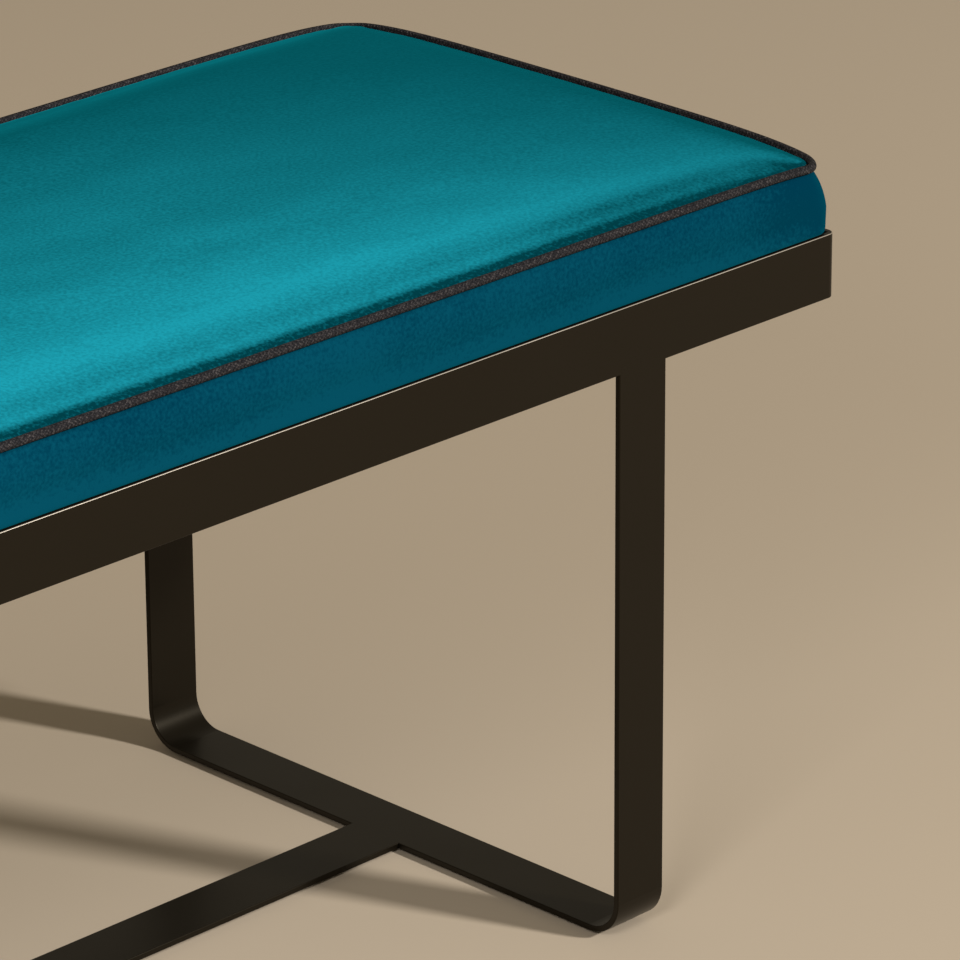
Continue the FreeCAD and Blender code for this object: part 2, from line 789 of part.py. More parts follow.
# Top panel: the velvet top, crowned over the wadding
def top_panel():
    outer = new_body("TopPanelPlan")
    rim = outline(outer, "Rim", SEAM_INSET, SEAM_RADIUS, PIPING_Z)
    pad(outer, rim, "crown_rise + shoulder_rise")
    inner = new_body("TopPanelHollow")
    inset = SEAM_INSET + " + cover_thickness"
    radius = SEAM_RADIUS + " - cover_thickness"
    hollow = outline(inner, "Hollow", inset, radius, PIPING_Z + " - cover_thickness")
    pad(inner, hollow, "crown_rise + shoulder_rise")
    outside = crowned("PanelOuter", outer, "0")
    inside = crowned("PanelInner", inner, "cover_thickness")
    return cut("TopPanel", outside, inside)


keep(top_panel(), "top_panel")


# Wadding: polyester wrap over the foam, open at the board
def wadding():
    under_cover = "( cover_thickness + soft_gap )"
    over_foam = "( cover_thickness + soft_gap + wadding_thickness )"
    outer = filling_walls("WaddingSide", under_cover, BOARD_TOP + " + soft_gap")
    inner = filling_walls("WaddingHollow", over_foam, BOARD_TOP)
    outside = crowned("WaddingOuter", outer, under_cover)
    inside = crowned("WaddingInner", inner, over_foam)
    return cut("Wadding", outside, inside)


keep(wadding(), "wadding")


# Foam: the slab on the board, crowned like the cover
def foam_core():
    in_wadding = "( cover_thickness + 2 * soft_gap + wadding_thickness )"
    return crowned("Foam", filling_walls("FoamSide", in_wadding, BOARD_TOP), in_wadding)


keep(foam_core(), "foam_core")


# Piping: a round cord sewn into the seam between the top panel and the boxing
def piping_cord():
    body = new_body("PipingCord")
    route = outline(body, "Route", "piping_inset", "piping_corner_radius", PIPING_Z)
    start = "piping_inset + piping_corner_radius - bench_length / 2"
    section = new_sketch(body, "YZ_Plane", "Section", start)
    circle(section, "cord", "piping_inset - bench_depth / 2", PIPING_Z, "piping_diameter")
    cord = body.newObject("PartDesign::AdditivePipe", "Cord")
    cord.Profile = section
    cord.Spine = (route, [])
    doc.recompute()
    return body


keep(piping_cord(), "piping_cord")

doc.recompute()

failed = [item.Label for item in doc.Objects if "Invalid" in item.State or "Error" in item.State]
assert not failed, "failed objects: " + ", ".join(failed)
for piece in parts:
    assert not piece.Shape.isNull() and piece.Shape.isValid(), "bad shape: " + piece.Label
for piece in parts:
    piece.Shape.exportStep("parts/%s.step" % piece.Label)
print("wrote %d pieces" % len(parts))
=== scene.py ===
import math

import bpy
from mathutils import Euler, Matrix, Quaternion, Vector, noise


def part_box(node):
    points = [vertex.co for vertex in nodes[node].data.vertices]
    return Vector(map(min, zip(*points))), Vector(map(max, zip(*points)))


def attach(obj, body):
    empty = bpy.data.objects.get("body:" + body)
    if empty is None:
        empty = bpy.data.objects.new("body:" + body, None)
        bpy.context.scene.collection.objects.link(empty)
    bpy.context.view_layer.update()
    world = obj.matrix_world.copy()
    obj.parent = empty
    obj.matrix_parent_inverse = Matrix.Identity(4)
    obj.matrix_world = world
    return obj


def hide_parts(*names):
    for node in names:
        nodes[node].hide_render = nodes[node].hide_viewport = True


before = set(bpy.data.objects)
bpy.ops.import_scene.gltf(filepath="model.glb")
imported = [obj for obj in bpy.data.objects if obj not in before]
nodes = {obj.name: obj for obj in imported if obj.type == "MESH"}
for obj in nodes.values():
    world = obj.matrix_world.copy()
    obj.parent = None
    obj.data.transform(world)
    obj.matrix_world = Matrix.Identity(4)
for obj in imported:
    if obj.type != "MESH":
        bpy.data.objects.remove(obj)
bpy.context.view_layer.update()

bpy.context.scene.view_settings.view_transform = "Standard"

# Camera: in front of the bench's left end and above it, on a long lens, so that the right half of
# the bench fills the frame and its left half runs out of it, as in the photograph.
CAMERA_PLACE = Vector((-1.9533, -2.4624, 1.6181))
CAMERA_AZIMUTH = 45.065
CAMERA_PITCH = 21.813
CAMERA_ROLL = -0.335
CAMERA_LENS = 219.6

bpy.ops.object.camera_add(location=CAMERA_PLACE)
camera = bpy.context.object
camera.name = "photo_camera"
camera.data.lens = CAMERA_LENS
camera.data.sensor_width = 36.0
heading = Euler((math.radians(90 - CAMERA_PITCH), 0, math.radians(-CAMERA_AZIMUTH))).to_quaternion()
camera.rotation_mode = "QUATERNION"
camera.rotation_quaternion = heading @ Quaternion((0, 0, 1), math.radians(CAMERA_ROLL))
bpy.context.scene.camera = camera

# Studio: a key lamp high in front and to the right, a weak soft one over the front's left, an even
# pale surround, and a plain sand-coloured floor that takes the legs' shadows.
KEY_TARGET = Vector((0.25, 0.0, 0.25))
KEY_FROM = Vector((0.39, -0.92, 0.0)).normalized()
KEY_HEIGHT = math.radians(31)
KEY_DISTANCE = 8.5
KEY_SIZE = 0.75
KEY_WATTS = 690
KEY_COLOUR = (1.0, 0.96, 0.9)
OVER_PLACE = Vector((-0.95, -0.90, 1.20))
OVER_TARGET = Vector((-0.15, -0.10, 0.35))
OVER_SIZE = 0.6
OVER_WATTS = 13
OVER_COLOUR = (1.0, 0.97, 0.93)
SURROUND_COLOUR = (0.80, 0.70, 0.53, 1)
SURROUND_STRENGTH = 0.36
FLOOR_SIZE = 16
FLOOR_COLOUR = (0.50, 0.42, 0.325, 1)


def area_lamp(name, place, target, size, watts, colour):
    """A round soft lamp that shines at a target and isn't seen itself."""
    bpy.ops.object.light_add(type="AREA", location=place)
    lamp = bpy.context.object
    lamp.name = name
    lamp.data.shape = "DISK"
    lamp.data.size = size
    lamp.data.energy = watts
    lamp.data.color = colour
    lamp.visible_camera = False
    lamp.rotation_mode = "QUATERNION"
    lamp.rotation_quaternion = (target - place).to_track_quat("-Z", "Y")


key_way = math.cos(KEY_HEIGHT) * KEY_FROM + math.sin(KEY_HEIGHT) * Vector((0, 0, 1))
key_place = KEY_TARGET + KEY_DISTANCE * key_way
area_lamp("key_lamp", key_place, KEY_TARGET, KEY_SIZE, KEY_WATTS, KEY_COLOUR)
area_lamp("over_lamp", OVER_PLACE, OVER_TARGET, OVER_SIZE, OVER_WATTS, OVER_COLOUR)

surround = bpy.data.worlds.new("studio")
bpy.context.scene.world = surround
surround.use_nodes = True
background = surround.node_tree.nodes["Background"]
background.inputs["Color"].default_value = SURROUND_COLOUR
background.inputs["Strength"].default_value = SURROUND_STRENGTH


def deselect():
    """Back to object mode with nothing selected."""
    if bpy.context.object and bpy.context.object.mode != "OBJECT":
        bpy.ops.object.mode_set(mode="OBJECT")
    bpy.ops.object.select_all(action="DESELECT")


def finish_for(name, colour, roughness):
    """A new material with its node tree and its shader."""
    finish = bpy.data.materials.new(name)
    finish.use_nodes = True
    tree = finish.node_tree
    shader = tree.nodes["Principled BSDF"]
    shader.inputs["Base Color"].default_value = colour
    shader.inputs["Roughness"].default_value = roughness
    return finish, tree, shader


deselect()
bpy.ops.mesh.primitive_plane_add(size=FLOOR_SIZE, location=(0, 0, 0))
floor = bpy.context.object
floor.name = "studio_floor"
floor_finish, tree, shader = finish_for("floor_finish", FLOOR_COLOUR, 0.9)
floor.data.materials.append(floor_finish)

# Ring and hoops: flat steel bar, welded, ground flush and powder coated in a black-brown, which
# leaves a very fine orange peel and a soft shine. The solids are right, so only the finish is new.
COAT_COLOUR = (0.0050, 0.0038, 0.0022, 1)
COAT_SPECULAR = 0.2
COAT_TINT = (1.0, 0.88, 0.68, 1)
COAT_PEEL_SIZE = 0.0009
COAT_PEEL_DEPTH = 0.00004
COAT_CLOUD_SIZE = 0.05
RING_RAILS = ["front_rail", "back_rail", "left_end_rail", "right_end_rail"]
OTHER_COATED = [
    "left_leg_hoop", "right_leg_hoop", "floor_stretcher",
    "left_cross_bar", "centre_cross_bar", "right_cross_bar",
    "front_left_corner_plate", "front_right_corner_plate",
    "back_left_corner_plate", "back_right_corner_plate",
]


def noise_on(tree, size, detail, places=None):
    """A noise texture whose lumps are about that size, on the piece's own coordinates."""
    if places is None:
        places = tree.nodes.new("ShaderNodeTexCoord").outputs["Object"]
    texture = tree.nodes.new("ShaderNodeTexNoise")
    texture.inputs["Scale"].default_value = 0.5 / size
    texture.inputs["Detail"].default_value = detail
    tree.links.new(places, texture.inputs["Vector"])
    return texture.outputs["Fac"]


def mapped(tree, mask, low, high, from_low=0.3, from_high=0.7):
    """A mask stretched to run between two numbers."""
    node = tree.nodes.new("ShaderNodeMapRange")
    node.inputs["From Min"].default_value = from_low
    node.inputs["From Max"].default_value = from_high
    node.inputs["To Min"].default_value = low
    node.inputs["To Max"].default_value = high
    tree.links.new(mask, node.inputs["Value"])
    return node.outputs["Result"]


def split_axes(tree, kind):
    """The X, Y and Z of the piece's own coordinates or normal."""
    node = tree.nodes.new("ShaderNodeSeparateXYZ")
    tree.links.new(tree.nodes.new("ShaderNodeTexCoord").outputs[kind], node.inputs["Vector"])
    return node.outputs


def math_node(tree, operation, *values):
    """One sum on masks or numbers."""
    node = tree.nodes.new("ShaderNodeMath")
    node.operation = operation
    for socket, value in zip(node.inputs, values):
        if isinstance(value, bpy.types.NodeSocket):
            tree.links.new(value, socket)
        else:
            socket.default_value = value
    return node.outputs[0]


def bumped(tree, shader, height, distance, strength=1.0):
    """Feed a height, in metres of relief, to the shader's normal."""
    node = tree.nodes.new("ShaderNodeBump")
    node.inputs["Distance"].default_value = distance
    node.inputs["Strength"].default_value = strength
    tree.links.new(height, node.inputs["Height"])
    tree.links.new(node.outputs["Normal"], shader.inputs["Normal"])


def blend_colours(tree, mask, low, high):
    """The first colour where the mask is 0, the second where it is 1."""
    node = tree.nodes.new("ShaderNodeMix")
    node.data_type = "RGBA"
    node.inputs["A"].default_value = low
    node.inputs["B"].default_value = high
    tree.links.new(mask, node.inputs["Factor"])
    return node.outputs["Result"]


def refinish(names, finish):
    """One finish on each of the named solids."""
    for name in names:
        mesh = nodes[name].data
        mesh.materials.clear()
        mesh.materials.append(finish)


coat, tree, shader = finish_for("powder_coat", COAT_COLOUR, 0.33)
clouds = noise_on(tree, COAT_CLOUD_SIZE, 4)
tree.links.new(mapped(tree, clouds, 0.29, 0.37), shader.inputs["Roughness"])
bumped(tree, shader, noise_on(tree, COAT_PEEL_SIZE, 3), COAT_PEEL_DEPTH, 0.5)
shader.inputs["Specular IOR Level"].default_value = COAT_SPECULAR
shader.inputs["Specular Tint"].default_value = COAT_TINT
refinish(OTHER_COATED, coat)

# The ring's rounded upper edge gets a pale metallic finish, a painted highlight that stands for the bright
# line of light along its rounding. The rounding is found by its normal, which leans both outwards and
# upwards
PAINTED_EDGE_HIGHLIGHT = (0.62, 0.56, 0.48, 1)
EDGE_HIGHLIGHT_SHARE = 0.8
rail_coat = coat.copy()
rail_coat.name = "ring_powder_coat"
tree = rail_coat.node_tree
shader = tree.nodes["Principled BSDF"]
facing = split_axes(tree, "Normal")
place = split_axes(tree, "Object")
outwards = []
for axis in "XY":
    side = math_node(tree, "SIGN", place[axis])
    outwards.append(math_node(tree, "MULTIPLY", facing[axis], side))
rounding = math_node(tree, "MULTIPLY", facing["Z"], math_node(tree, "ADD", *outwards))
# mask for the painted highlight on the rounded upper edge
painted_edge_highlight = mapped(tree, rounding, 0.0, EDGE_HIGHLIGHT_SHARE, 0.18, 0.43)
tree.links.new(painted_edge_highlight, shader.inputs["Metallic"])
tree.links.new(blend_colours(tree, painted_edge_highlight, COAT_COLOUR, PAINTED_EDGE_HIGHLIGHT), shader.inputs["Base Color"])
refinish(RING_RAILS, rail_coat)

# Welds: short beads under the cross bars' ends and the corner plates, where nobody looks. The joints
# that show are ground flush. A bead is a rippled tube lying in the corner of its joint.
BEAD_RADIUS = 0.0020
BEAD_RIPPLE = 0.0024
BEAD_STEP = 0.0006
BEAD_SIDES = 10
CROSS_BEAD = 0.030
PLATE_BEAD = 0.040
PLATE_BEAD_START = 0.020
BAR_THICKNESS = 0.004
HALF_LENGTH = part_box("right_end_rail")[1].x
HALF_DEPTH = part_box("back_rail")[1].y
RING_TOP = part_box("front_rail")[1].z
SUPPORT_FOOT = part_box("centre_cross_bar")[0].z
HOOP_MIDDLE = (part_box("right_leg_hoop")[0].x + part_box("right_leg_hoop")[1].x) / 2


def tube(name, path, sides, closed=False):
    """A tube along a path of places, each with its way outwards and its radius, with a UV map."""
    deselect()
    steps = len(path) if closed else len(path) - 1
    bpy.ops.mesh.primitive_grid_add(x_subdivisions=steps, y_subdivisions=sides, size=2, calc_uvs=True)
    pipe = bpy.context.object
    pipe.name = name
    for point in pipe.data.vertices:
        step = round((point.co.x + 1) / 2 * steps) % len(path)
        angle = (point.co.y + 1) * math.pi
        centre, outward, upward, radius = path[step]
        point.co = centre + radius * (math.cos(angle) * outward - math.sin(angle) * upward)
    bpy.ops.object.mode_set(mode="EDIT")
    bpy.ops.mesh.select_all(action="SELECT")
    bpy.ops.mesh.remove_doubles(threshold=0.00001)
    bpy.ops.mesh.normals_make_consistent(inside=False)
    bpy.ops.object.mode_set(mode="OBJECT")
    bpy.ops.object.shade_smooth()
    return pipe


def weld_bead(start, end):
    """A rippled bead from one place to another, tapered to nothing at both ends."""
    length = (end - start).length
    steps = round(length / BEAD_STEP)
    along = (end - start).normalized()
    upward = Vector((0, 0, 1))
    path = []
    for step in range(steps + 1):
        reach = length * step / steps
        ripple = 0.88 + 0.12 * abs(math.sin(math.pi * reach / BEAD_RIPPLE))
        taper = math.sqrt(min(1.0, reach / BEAD_RADIUS, (length - reach) / BEAD_RADIUS))
        path.append((start + reach * along, along.cross(upward), upward, BEAD_RADIUS * ripple * taper))
    return tube("weld_bead", path, BEAD_SIDES)


def mirrored_twice(x, y):
    """A place and its mirror images in all four quarters."""
    return [(x, y), (-x, y), (x, -y), (-x, -y)]


def joined(name, pieces):
    """Pieces joined into one object."""
    deselect()
    for piece in pieces:
        piece.select_set(True)
    bpy.context.view_layer.objects.active = pieces[0]
    bpy.ops.object.join()
    whole = bpy.context.object
    whole.name = name
    return whole


inner_side = HALF_DEPTH - BAR_THICKNESS
inner_end = HALF_LENGTH - BAR_THICKNESS
beads = []
for middle in (-HOOP_MIDDLE, 0, HOOP_MIDDLE):
    for side in (-inner_side, inner_side):
        start = Vector((middle - CROSS_BEAD / 2, side, SUPPORT_FOOT))
        beads.append(weld_bead(start, start + Vector((CROSS_BEAD, 0, 0))))
for x, y in mirrored_twice(inner_end, inner_side):
    inward_x = math.copysign(1, -x)
    inward_y = math.copysign(1, -y)
    along_side = Vector((x + PLATE_BEAD_START * inward_x, y, SUPPORT_FOOT))
    beads.append(weld_bead(along_side, along_side + Vector((PLATE_BEAD * inward_x, 0, 0))))
    along_end = Vector((x, y + PLATE_BEAD_START * inward_y, SUPPORT_FOOT))
    beads.append(weld_bead(along_end, along_end + Vector((0, PLATE_BEAD * inward_y, 0))))
welds = joined("welds", beads)
welds.data.materials.append(coat)
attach(welds, "root")

# Floor glides: turned black nylon discs under the hoops.
NYLON_COLOUR = (0.022, 0.022, 0.022, 1)

nylon, tree, shader = finish_for("glide_nylon", NYLON_COLOUR, 0.55)
bumped(tree, shader, noise_on(tree, 0.0006, 2), 0.00003, 0.5)
refinish([name for name in nodes if name.endswith("floor_glide")], nylon)

# Seat board: birch plywood, sawn and eased, with its grain lengthways and its plies on the edge.
BOARD_FOOT, BOARD_TOP = (corner.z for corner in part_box("seat_board"))
PLY = 0.0014
PALE_BIRCH = (0.62, 0.47, 0.30, 1)
DARK_BIRCH = (0.36, 0.23, 0.12, 1)

plywood, tree, shader = finish_for("birch_plywood", PALE_BIRCH, 0.6)
stretch = tree.nodes.new("ShaderNodeMapping")
stretch.inputs["Scale"].default_value = (0.06, 1, 1)
tree.links.new(tree.nodes.new("ShaderNodeTexCoord").outputs["Object"], stretch.inputs["Vector"])
grain = noise_on(tree, 0.0016, 5, stretch.outputs["Vector"])
over_foot = math_node(tree, "SUBTRACT", split_axes(tree, "Object")["Z"], BOARD_FOOT)
plies = math_node(tree, "DIVIDE", over_foot, 2 * PLY)
cross_ply = math_node(tree, "GREATER_THAN", math_node(tree, "FRACT", plies), 0.5)
shade = math_node(tree, "MULTIPLY_ADD", cross_ply, 0.45, mapped(tree, grain, 0.0, 0.5))
tree.links.new(blend_colours(tree, shade, PALE_BIRCH, DARK_BIRCH), shader.inputs["Base Color"])
bumped(tree, shader, grain, 0.0001, 0.5)
refinish(["seat_board"], plywood)

# Nuts, bolts and washers: zinc-plated steel.
ZINC_COLOUR = (0.58, 0.58, 0.56, 1)

zinc, tree, shader = finish_for("zinc_steel", ZINC_COLOUR, 0.33)
shader.inputs["Metallic"].default_value = 1.0
tree.links.new(mapped(tree, noise_on(tree, 0.0030, 3), 0.24, 0.42), shader.inputs["Roughness"])
refinish(["t_nuts", "seat_bolts", "bolt_washers"], zinc)

# Cushion form: foam, wadding and cover share one shape. Its top is a round shoulder and a low dome,
# its side bellies out over the board, and a pull at the corners and along the back draws the cord
# in, as the cover's tension does. A piece inside is the same form, set in by its depth.
CORD_INSET = 0.0025
CORD_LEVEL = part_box("piping_cord")[0].z / 2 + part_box("piping_cord")[1].z / 2
CORD_RADIUS = 0.00275
SEAM_CORNER = 0.016
BOARD_CORNER = 0.012
SHOULDER_RUN = 0.0125
SHOULDER_RISE = 0.0052
CROWN_RISE = 0.0112
CROWN_REACH = 0.170
CROWN_START = 0.4
RIM_INSET = 0.0056
RIM_BAND = 0.028
CORNER_PULL = 0.0115
CORNER_PULL_REACH = 0.046
SIDE_PULL_SHARE = 0.15
END_STAND_OUT = 0.0016
BACK_PULL = 0.0038
BACK_BOW = 0.0040
BACK_CORNER_PULL = 0.0080
PULL_DEPTH = 0.040
PULL_CURVE = 1.2
CORNER_DIP = 0.0040
CORNER_DIP_REACH = 0.030


def moved_outline(x, y, inset, corner, start_inset, start_corner):
    """Where a point of one round-cornered outline comes to lie on another."""
    start_x = HALF_LENGTH - start_inset - start_corner
    start_y = HALF_DEPTH - start_inset - start_corner
    end_x = HALF_LENGTH - inset - corner
    end_y = HALF_DEPTH - inset - corner
    over_x = abs(x) - start_x
    over_y = abs(y) - start_y
    if over_x > 0 and over_y > 0:
        reach = math.hypot(over_x, over_y)
        new_x = end_x + corner * over_x / reach
        new_y = end_y + corner * over_y / reach
    elif over_x > 0:
        new_x = end_x + corner
        new_y = abs(y) * end_y / start_y
    else:
        new_x = abs(x) * end_x / start_x
        new_y = end_y + corner
    return math.copysign(new_x, x), math.copysign(new_y, y)


def pulled(x, y, z, share):
    """A point moved by the cover's pull, all of it at the cord and none at the board."""
    to_end = max(HALF_LENGTH - abs(x), 0)
    to_side = max(HALF_DEPTH - abs(y), 0)
    end_pull = CORNER_PULL * math.exp(-to_side / CORNER_PULL_REACH) - END_STAND_OUT
    side_pull = SIDE_PULL_SHARE * CORNER_PULL * math.exp(-to_end / CORNER_PULL_REACH)
    if y > 0:
        bow = math.sin(math.pi / 2 * min(to_end / HALF_LENGTH, 1.0)) ** 2
        side_pull = BACK_PULL + BACK_BOW * bow + BACK_CORNER_PULL * math.exp(-to_end / PULL_DEPTH)
    end_pull *= math.exp(-to_end / PULL_DEPTH) * share
    side_pull *= math.exp(-to_side / PULL_DEPTH) * share
    dip = CORNER_DIP * math.exp(-math.hypot(to_end, to_side) / CORNER_DIP_REACH) * share
    return Vector((x - math.copysign(1, x) * end_pull, y - math.copysign(1, y) * side_pull, z - dip))


def crown(x, y, depth):
    """Height of the top over its own rim."""
    rise = CROWN_RISE
    for place, half in ((x, HALF_LENGTH), (y, HALF_DEPTH)):
        reach = max(half - RIM_INSET - depth - abs(place), 0.0)
        shoulder = SHOULDER_RISE * math.sqrt(1 - (1 - min(reach / SHOULDER_RUN, 1.0)) ** 2)
        dome_share = min(max(reach - CROWN_START * SHOULDER_RUN, 0.0) / CROWN_REACH, 1.0)
        dome = (CROWN_RISE - SHOULDER_RISE) * (1 - (1 - dome_share) ** 2)
        rise *= (shoulder + dome) / CROWN_RISE
    return rise


def spaced(position, half, band_cells, cells):
    """A grid line's place: closely spaced near the rim, evenly further in."""
    count = abs(position) * cells / 2
    inner = cells / 2 - band_cells
    if count > inner:
        place = half - RIM_BAND + (count - inner) / band_cells * RIM_BAND
    else:
        place = count / inner * (half - RIM_BAND)
    return math.copysign(place, position)


def cushion_form(name, depth, rim_cell, middle_cell, side_rows):
    """The open form: a crowned grid with rows of side faces, and the row that each point is in."""
    deselect()
    rim_x = HALF_LENGTH - RIM_INSET - depth
    rim_y = HALF_DEPTH - RIM_INSET - depth
    rim_corner = SEAM_CORNER - depth
    band_cells = round(RIM_BAND / rim_cell)
    cells_x = 2 * (band_cells + round((rim_x - RIM_BAND) / middle_cell))
    cells_y = 2 * (band_cells + round((rim_y - RIM_BAND) / middle_cell))
    bpy.ops.mesh.primitive_grid_add(x_subdivisions=cells_x, y_subdivisions=cells_y, size=2)
    form = bpy.context.object
    form.name = name
    for point in form.data.vertices:
        x = spaced(point.co.x, rim_x, band_cells, cells_x)
        y = spaced(point.co.y, rim_y, band_cells, cells_y)
        over_x = abs(x) - (rim_x - rim_corner)
        over_y = abs(y) - (rim_y - rim_corner)
        if over_x > 0 and over_y > 0:
            squeeze = max(over_x, over_y) / math.hypot(over_x, over_y)
            x = math.copysign(rim_x - rim_corner + over_x * squeeze, x)
            y = math.copysign(rim_y - rim_corner + over_y * squeeze, y)
        point.co = (x, y, CORD_LEVEL - depth + crown(x, y, depth))
    bpy.ops.object.mode_set(mode="EDIT")
    bpy.ops.mesh.select_mode(type="VERT")
    bpy.ops.mesh.select_all(action="DESELECT")
    bpy.ops.mesh.select_non_manifold()
    bpy.ops.object.mode_set(mode="OBJECT")
    rows = {point.index: 0 for point in form.data.vertices if point.select}
    last_inset, last_corner = RIM_INSET + depth, rim_corner
    for number, (inset, drop) in enumerate(side_rows, start=1):
        bpy.ops.object.mode_set(mode="EDIT")
        bpy.ops.mesh.extrude_region_move(TRANSFORM_OT_translate={"value": (0, 0, -0.001)})
        bpy.ops.object.mode_set(mode="OBJECT")
        bend = min(drop / (CORD_LEVEL - BOARD_TOP), 1.0)
        corner = SEAM_CORNER + (BOARD_CORNER - SEAM_CORNER) * bend - depth
        for point in form.data.vertices:
            if point.select:
                place = moved_outline(point.co.x, point.co.y, inset + depth, corner, last_inset, last_corner)
                point.co = (*place, CORD_LEVEL - drop)
                rows[point.index] = number
        last_inset, last_corner = inset + depth, corner
    return form, rows


def pull_share(z):
    """How much of the pull a height takes: none at the board, all at the cord."""
    return min(max((z - BOARD_TOP) / (CORD_LEVEL - BOARD_TOP), 0.0), 1.0) ** PULL_CURVE


def pull_form(form):
    """The pull on every point of a form."""
    for point in form.data.vertices:
        point.co = pulled(*point.co, pull_share(point.co.z))


# Foam and wadding: a slab of pale polyurethane foam glued on the board, under a sheet of white
# polyester wadding that reaches down to the board all round.
WADDING_DEPTH = 0.0022
WADDING_THICKNESS = 0.0042
FOAM_DEPTH = 0.0068
FOAM_DARK = (0.60, 0.52, 0.33, 1)
FOAM_LIGHT = (0.80, 0.73, 0.52, 1)
WADDING_COLOUR = (0.80, 0.80, 0.78, 1)
SOFT_EDGE = math.radians(50)
FILLING_CELLS = (0.007, 0.018)
SEAM_DEPTH = 0.0050
FILLING_ROWS = [
    (RIM_INSET, SEAM_DEPTH),
    (0.0038, 0.0066),
    (0.0018, 0.0100),
    (0.0009, 0.0170),
    (0.0009, 0.0240),
    (0.0012, CORD_LEVEL - BOARD_TOP - 0.0003),
]

foam, _ = cushion_form("foam_slab", FOAM_DEPTH, *FILLING_CELLS, FILLING_ROWS)
bpy.ops.object.mode_set(mode="EDIT")
bpy.ops.mesh.edge_face_add()
bpy.ops.object.mode_set(mode="OBJECT")
pull_form(foam)
bpy.ops.object.shade_smooth_by_angle(angle=SOFT_EDGE)
foam_finish, tree, shader = finish_for("seat_foam", FOAM_LIGHT, 0.95)
cells = noise_on(tree, 0.0009, 3)
tree.links.new(blend_colours(tree, cells, FOAM_DARK, FOAM_LIGHT), shader.inputs["Base Color"])
bumped(tree, shader, cells, 0.0006, 0.8)
foam.data.materials.append(foam_finish)
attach(foam, "root")
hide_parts("foam_core")

wadding, _ = cushion_form("wadding_wrap", WADDING_DEPTH, *FILLING_CELLS, FILLING_ROWS)
pull_form(wadding)
lining = wadding.modifiers.new("Thickness", "SOLIDIFY")
lining.thickness = WADDING_THICKNESS
lining.offset = -1
bpy.ops.object.modifier_apply(modifier="Thickness")
bpy.ops.object.shade_smooth_by_angle(angle=SOFT_EDGE)
wadding_finish, tree, shader = finish_for("polyester_wadding", WADDING_COLOUR, 1.0)
bumped(tree, shader, noise_on(tree, 0.0025, 6), 0.0012, 0.8)
shader.inputs["Sheen Weight"].default_value = 0.4
wadding.data.materials.append(wadding_finish)
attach(wadding, "root")
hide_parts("wadding")

# Cover: velvet, cut as a top panel and a side band that are sewn together with the cord between
# them. It is pulled over the wadding, turned in under the board and stapled there. Cloth simulation
# swells it between the seam and the board, and the seam gathers it into fine puckers.
COVER_CELLS = (0.0035, 0.0075)
COVER_THICKNESS = 0.0006
SWELL_STEPS = 20
SWELL_PRESSURE = 4.0
SWELL_LIMIT = 0.0030
GATHER = 0.0004
GATHER_REACH = 0.010
CORNER_GATHER = 0.0016
CORNER_GATHER_REACH = 0.035
ROLL = 0.0004
ROLL_REACH = 0.04
HEM_CLEAR = 0.0001

# The band's rows from the seam down: inset from the ring's outer face, and depth under the cord
COVER_ROWS = [
    (RIM_INSET, 0.0016),
    (0.0040, 0.0034),
    (0.0026, 0.0052),
    (0.0018, 0.0085),
    (0.0012, 0.0125),
    (0.0009, 0.0165),
    (0.0008, 0.0205),
    (0.0009, 0.0245),
    (0.0010, 0.0285),
    (0.0011, 0.0325),
    (0.0012, 0.0370),
    (0.0013, 0.0410),
    (0.0013, 0.0440),
    (0.0015, 0.0459),
    (0.0020, 0.0469),
    (0.0031, CORD_LEVEL - RING_TOP - HEM_CLEAR),
    (0.0046, CORD_LEVEL - RING_TOP - HEM_CLEAR),
    (0.0240, CORD_LEVEL - RING_TOP - HEM_CLEAR),
]
TOP_ROWS = 1

cover, cover_rows = cushion_form("velvet_side_band", 0.0, *COVER_CELLS, COVER_ROWS)
held = []
for index, row in cover_rows.items():
    drop = COVER_ROWS[row - 1][1] if row else 0.0
    if drop < SEAM_DEPTH or drop > CORD_LEVEL - BOARD_TOP:
        held.append(index)
pins = cover.vertex_groups.new(name="pins")
pins.add(held, 1.0, "REPLACE")

start = [point.co.copy() for point in cover.data.vertices]
swelling = cover.modifiers.new("Cloth", "CLOTH")
cloth = swelling.settings
cloth.quality = 6
cloth.mass = 0.3
cloth.tension_stiffness = 12
cloth.compression_stiffness = 12
cloth.shear_stiffness = 4
cloth.bending_stiffness = 0.3
cloth.vertex_group_mass = "pins"
cloth.use_pressure = True
cloth.uniform_pressure_force = SWELL_PRESSURE
cloth.effector_weights.gravity = 0
swelling.point_cache.frame_end = SWELL_STEPS
for step in range(1, SWELL_STEPS + 1):
    bpy.context.scene.frame_set(step)
bpy.ops.object.modifier_apply(modifier="Cloth")
bpy.context.scene.frame_set(1)
for point, rest in zip(cover.data.vertices, start):
    move = point.co - rest
    if move.length > 0:
        point.co = rest + move * SWELL_LIMIT * math.tanh(move.length / SWELL_LIMIT) / move.length

# Velvet: its nap's grain, and the dark and light colours between which painted shade and painted sheen are
# blended
NAP_SIZE = 0.0011
NAP_SHEEN = 0.18
NAP_TINT = (0.01, 0.75, 0.95, 1)
TOP_DARK = (0.000, 0.026, 0.038, 1)
TOP_LIGHT = (0.010, 0.290, 0.405, 1)
BAND_DARK = (0.000, 0.026, 0.056, 1)
BAND_LIGHT = (0.001, 0.050, 0.090, 1)


def velvet_finish(name, colour):
    """A matt pile with a cool sheen, its nap a fine grain in colour and relief."""
    finish, tree, shader = finish_for(name, colour, 0.9)
    nap = noise_on(tree, NAP_SIZE, 2)
    bumped(tree, shader, nap, 0.0003, 0.35)
    shader.inputs["Specular IOR Level"].default_value = 0.0
    shader.inputs["Sheen Weight"].default_value = NAP_SHEEN
    shader.inputs["Sheen Roughness"].default_value = 0.5
    shader.inputs["Sheen Tint"].default_value = NAP_TINT
    return finish, tree, shader, nap
